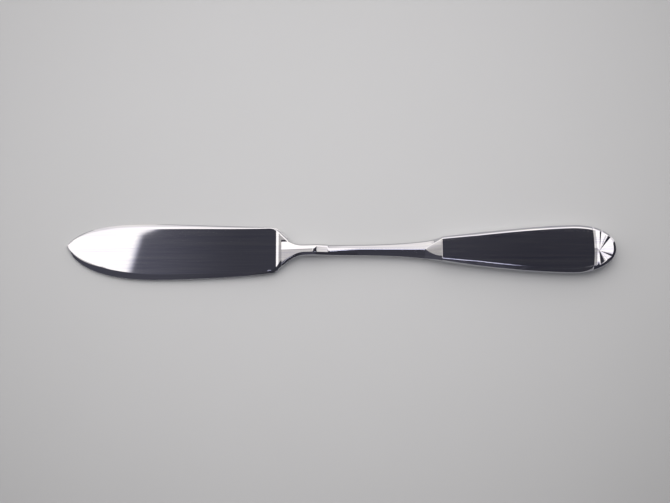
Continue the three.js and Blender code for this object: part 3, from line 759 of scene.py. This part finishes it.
handle_steel = steel(
    "handle_steel", (0.61, 0.61, 0.63), contrast=0.2, roughness=0.04, hairline=0.02, smudge=0.01)
grid = shell_grid()
for shell_name, node_name, up in (
        ("front_shell_skin", "handle_front_shell", 1), ("back_shell_skin", "handle_back_shell", -1)):
    placed = grid.reshape(-1, 3) * [1, 1, up] + [0, 0, HANDLE_HEIGHT]
    shell = piece(shell_name, placed, shell_faces(*grid.shape[:2]), "root", [node_name])
    shell.data.materials.append(handle_steel)

# Filler
# Grey cement that was poured into the hollow handle and set round the tang. It doesn't show from outside,
# so the solid keeps its shape and gets a material alone.

CEMENT_DARK = (0.36, 0.34, 0.3, 1.0)
CEMENT_LIGHT = (0.55, 0.53, 0.49, 1.0)
GRAINS = 2600.0  # cells of noise to a metre
PATCHES = 240.0
GRAIN_SHARE = 0.6  # share of the grain in the colour, the rest from the patches
GRAIN_DEPTH = 0.0001  # metres


def cement(name):
    """Set cement: two greys mixed by a fine noise and a coarse one, matt, with a grainy surface."""
    material = bpy.data.materials.new(name)
    shader = Shader(material)
    place = shader.node("ShaderNodeTexCoord", output=3)
    grain = shader.node("ShaderNodeTexNoise", {}, {"Vector": place, "Scale": GRAINS, "Detail": 5.0})
    patches = shader.node("ShaderNodeTexNoise", {}, {"Vector": place, "Scale": PATCHES, "Detail": 2.0})
    tone = shader.node("ShaderNodeMix", {"data_type": "RGBA"}, {
        0: grain * GRAIN_SHARE + patches * (1 - GRAIN_SHARE), 6: CEMENT_DARK, 7: CEMENT_LIGHT}, output=2)
    relief = shader.node("ShaderNodeBump", {}, {"Strength": 0.5, "Distance": GRAIN_DEPTH, "Height": grain})
    surface = shader.node("ShaderNodeBsdfPrincipled", {}, {
        "Base Color": tone, "Roughness": 0.8 + grain * 0.15, "Normal": relief})
    shader.node("ShaderNodeOutputMaterial", {}, {"Surface": surface})
    return material


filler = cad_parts["handle_filler"]
filler.data.materials.clear()
filler.data.materials.append(cement("filler_cement"))

# Studio
# A pale matt table top under a wide white tent, which has a dark opening above the table. Two soft lamps, a
# weak one beyond the spine side and a strong one overhead, throw the shadow, and neither shows in the steel.

FLOOR_SIZE = 3.0
FLOOR_DROP = 0.00002  # table top below the knife, so that the two never share a plane
FLOOR_COLOUR = {"Red": 0.543, "Green": 0.55, "Blue": 0.556}
PAINTED_LIGHT_FALL = 13.6  # painted shade: the table top's colour is painted darker with the square of the distance in metres from the middle of a painted pool of light
# most darkening of the painted shade on the table top
MOST_PAINTED_FALL = 0.45
FLOOR_MOTTLE = 0.02
# middle of the painted pool of light on the table top
PAINTED_LIGHT_MIDDLE = (-0.014, 0.048)
LAMP_SIZE = 0.8
LENS = 85.0
SENSOR = 36.0
NEAR_CLIP = 0.01
CAMERA_DISTANCE = 0.4895
CAMERA_ELEVATION = math.radians(78)
TARGET = (-0.0017, 0.0, 0.002)

# Levels of the tent's fields, and tints of the light ones and the dark ones
TENT_LEVEL = 1.75
SIDE_FALL_LEVEL = 0.5  # by this much the tent is darker low down on the spine's side
LOWEST_FALL_LEVEL = 0.2  # and by this much more near the table
DARK_LEVEL = 0.066
DARK_FALL = 0.02  # fall towards the handle's side of the opening
GLOW_LEVEL = 0.085  # rise towards the tip's side
LEAST_GLOW = 0.25
GREY_LEVEL = 0.84  # field on the tip's side that the fork's lower facet and the bolster mirror
GREY_FALL = 0.26  # its fall towards the spine's side
SLOPE_LEVEL = 0.95  # field on the handle's side that the land behind the hump mirrors
STRIP_LEVEL = 4.0
LIGHT_TINT = (1.0, 0.955, 0.93, 1.0)
DARK_TINT = (0.95, 0.945, 1.19, 1.0)

# Edges of those fields, from where one begins to where it is full. They are leans of a direction: its X or Y
# for each unit of its height, where X runs to the handle and Y to the spine's side
LEAST_HEIGHT = 0.03
OPENING_TIP_EDGE = (-0.237, -0.231)
OPENING_EDGE_LEAN = 0.28  # shift of that edge for each unit of lean along Y
OPENING_FAR_EDGE = (0.25, 0.275)
CORNER_CUT = (0.2245, 0.2295)
CORNER_CUT_SHIFT = 0.007
CORNER_SWEEP = (0.225, 0.262)
CORNER_SWEEP_SHIFT = 0.05
RIGHT_EDGE = (0.225, 0.245)
RIGHT_EDGE_LEAN = 0.1
RIGHT_LIGHT_EDGE = (-0.34, -0.28)
FAR_RIGHT_EDGE = (0.5, 0.56)
FAR_RIGHT_LIGHT_EDGE = (-0.05, 0.05)
FAR_RIGHT_LEAN = 0.6
SLOPE_END = (0.32, 0.36)
SLOPE_FAR_EDGE = (0.24, 0.26)
LEFT_EDGE = (-0.241, -0.235)
LEFT_LIGHT_EDGE = (-0.14, -0.08)
GREY_EDGE = (-0.52, -0.48)
GREY_FAR_EDGE = (0.214, 0.34)
GREY_FALL_EDGE = (0.08, 0.21)
GLOW_EDGE = (-0.19, -0.1)
GLOW_RISE = (-0.25, 0.1)
DARK_FALL_EDGE = (0.05, 0.13)
SIDE_FALL_EDGE = (0.7, 1.4)
LOWEST_FALL_EDGE = (5.0, 9.0)
STRIP_ALONG = ((-0.03, 0.0), (0.05, 0.08))
STRIP_ACROSS = ((-0.62, -0.57), (-0.34, -0.26))

floor_mesh = bpy.data.meshes.new("table_top")
half = FLOOR_SIZE / 2
floor_mesh.from_pydata(
    [(-half, -half, 0), (half, -half, 0), (half, half, 0), (-half, half, 0)], [], [(0, 1, 2, 3)])
floor = bpy.data.objects.new("table_top", floor_mesh)
floor.location.z = -FLOOR_DROP
bpy.context.scene.collection.objects.link(floor)
floor_material = bpy.data.materials.new("table_paper")
paper = Shader(floor_material)
place = paper.node("ShaderNodeTexCoord", output=3)
mottle = paper.node("ShaderNodeTexNoise", {}, {"Vector": place, "Scale": 35.0, "Detail": 4.0})
# Painted pool of light: the table top's colour is painted darker with the square of the distance from one
# place, up to a most, under the paper's faint real mottle
spot = paper.node("ShaderNodeSeparateXYZ", {}, {0: place})
from_x = spot - PAINTED_LIGHT_MIDDLE[0]
from_y = Wire(paper, spot.socket.node.outputs[1]) - PAINTED_LIGHT_MIDDLE[1]
fall = paper.node("ShaderNodeMath", {"operation": "MINIMUM"}, {
    0: (from_x * from_x + from_y * from_y) * PAINTED_LIGHT_FALL, 1: MOST_PAINTED_FALL})
mottle_and_painted_light = (1 - fall) * (mottle * FLOOR_MOTTLE + (1 - FLOOR_MOTTLE / 2))
tone = paper.node("ShaderNodeCombineColor", {}, {
    name: mottle_and_painted_light * value for name, value in FLOOR_COLOUR.items()})
surface = paper.node("ShaderNodeBsdfPrincipled", {}, {
    "Base Color": tone, "Roughness": 0.9, "Specular IOR Level": 0.1})
paper.node("ShaderNodeOutputMaterial", {}, {"Surface": surface})
floor_mesh.materials.append(floor_material)

world = bpy.data.worlds.new("tent")
bpy.context.scene.world = world
tent = Shader(world)
direction = tent.node("ShaderNodeTexCoord")
split = tent.node("ShaderNodeSeparateXYZ", {}, {0: direction})
east = split
north = Wire(tent, split.socket.node.outputs[1])
height = Wire(tent, split.socket.node.outputs[2])
above = tent.node("ShaderNodeMath", {"operation": "MAXIMUM"}, {0: height, 1: LEAST_HEIGHT})
lean_x = east / above
lean_y = north / above


def soft(value, start, end):
    """0 before the start, 1 after the end, with a gentle step between them."""
    return tent.node("ShaderNodeMapRange", {"interpolation_type": "SMOOTHSTEP"}, {
        "Value": value, "From Min": start, "From Max": end})


# The opening, which the level faces of blade and handle mirror; its far corner on the tip's side is rounded
corner = soft(lean_y, *CORNER_CUT) * CORNER_CUT_SHIFT + soft(lean_y, *CORNER_SWEEP) * CORNER_SWEEP_SHIFT
opening = soft(lean_x - lean_y * OPENING_EDGE_LEAN - corner, *OPENING_TIP_EDGE)
opening = opening * (1 - soft(lean_y, *OPENING_FAR_EDGE))

# Fields on the handle's side, at the right, and on the tip's side, at the left
lean_up = tent.node("ShaderNodeMath", {"operation": "MAXIMUM"}, {0: lean_y, 1: 0.0})
right = soft(lean_x - lean_up * RIGHT_EDGE_LEAN, *RIGHT_EDGE)
left = 1 - soft(lean_x, *LEFT_EDGE)
left_dark = left * (1 - soft(lean_y, *LEFT_LIGHT_EDGE))
grey = left * soft(lean_x, *GREY_EDGE) * (1 - soft(lean_y, *GREY_FAR_EDGE))
slope = right * (1 - soft(lean_x, *SLOPE_END)) * (1 - soft(lean_y, *SLOPE_FAR_EDGE))
far_right = soft(lean_x, *FAR_RIGHT_EDGE)
far_light = soft(lean_y - lean_x * FAR_RIGHT_LEAN, *FAR_RIGHT_LIGHT_EDGE)
right_light = between(soft(lean_y, *RIGHT_LIGHT_EDGE), far_light, far_right)
dark = 1 - (1 - opening * (1 - right)) * (1 - left_dark) * (1 - right * (1 - right_light))

# Levels of the fields, laid over each other
glow = (1 - soft(lean_x, *GLOW_EDGE)) * (soft(lean_y, *GLOW_RISE) * (1 - LEAST_GLOW) + LEAST_GLOW)
dark_level = DARK_LEVEL - soft(lean_x, *DARK_FALL_EDGE) * DARK_FALL + glow * GLOW_LEVEL
level = TENT_LEVEL - soft(lean_y, *SIDE_FALL_EDGE) * SIDE_FALL_LEVEL
level = level - soft(lean_y, *LOWEST_FALL_EDGE) * LOWEST_FALL_LEVEL
level = between(level, GREY_LEVEL - soft(lean_y, *GREY_FALL_EDGE) * GREY_FALL, grey)
level = between(level, SLOPE_LEVEL, slope)
level = between(level, dark_level, dark)

# A bright strip beyond the belly side, which shows as a line on the handle's lower bevel
strip = soft(lean_x, *STRIP_ALONG[0]) * (1 - soft(lean_x, *STRIP_ALONG[1]))
strip = strip * soft(lean_y, *STRIP_ACROSS[0]) * (1 - soft(lean_y, *STRIP_ACROSS[1]))
level = between(level, STRIP_LEVEL, strip)
tint = tent.node("ShaderNodeMix", {"data_type": "RGBA"}, {0: dark, 6: LIGHT_TINT, 7: DARK_TINT}, output=2)
background = tent.node("ShaderNodeBackground", {}, {"Color": tint, "Strength": level})
tent.node("ShaderNodeOutputWorld", {}, {"Surface": background})

# Each lamp's name, watts, place in metres and turn about X in degrees
for lamp_name, energy, place, turn in (
        ("side_lamp", 0.8, (0.0, 0.75, 0.75), -45), ("top_lamp", 4.0, (0.0, 0.0, 1.0), 0)):
    lamp_data = bpy.data.lights.new(lamp_name, "AREA")
    lamp_data.energy = energy
    lamp_data.size = LAMP_SIZE
    lamp = bpy.data.objects.new(lamp_name, lamp_data)
    lamp.location = place
    lamp.rotation_euler = (math.radians(turn), 0.0, 0.0)
    lamp.visible_glossy = False
    bpy.context.scene.collection.objects.link(lamp)

camera_data = bpy.data.cameras.new("camera")
camera_data.lens = LENS
camera_data.sensor_width = SENSOR
camera_data.clip_start = NEAR_CLIP
camera = bpy.data.objects.new("camera", camera_data)
camera.location = (
    TARGET[0], TARGET[1] - CAMERA_DISTANCE * math.cos(CAMERA_ELEVATION),
    TARGET[2] + CAMERA_DISTANCE * math.sin(CAMERA_ELEVATION))
camera.rotation_euler = (math.pi / 2 - CAMERA_ELEVATION, 0.0, 0.0)
bpy.context.scene.collection.objects.link(camera)
bpy.context.scene.camera = camera
bpy.context.scene.view_settings.view_transform = "Standard"
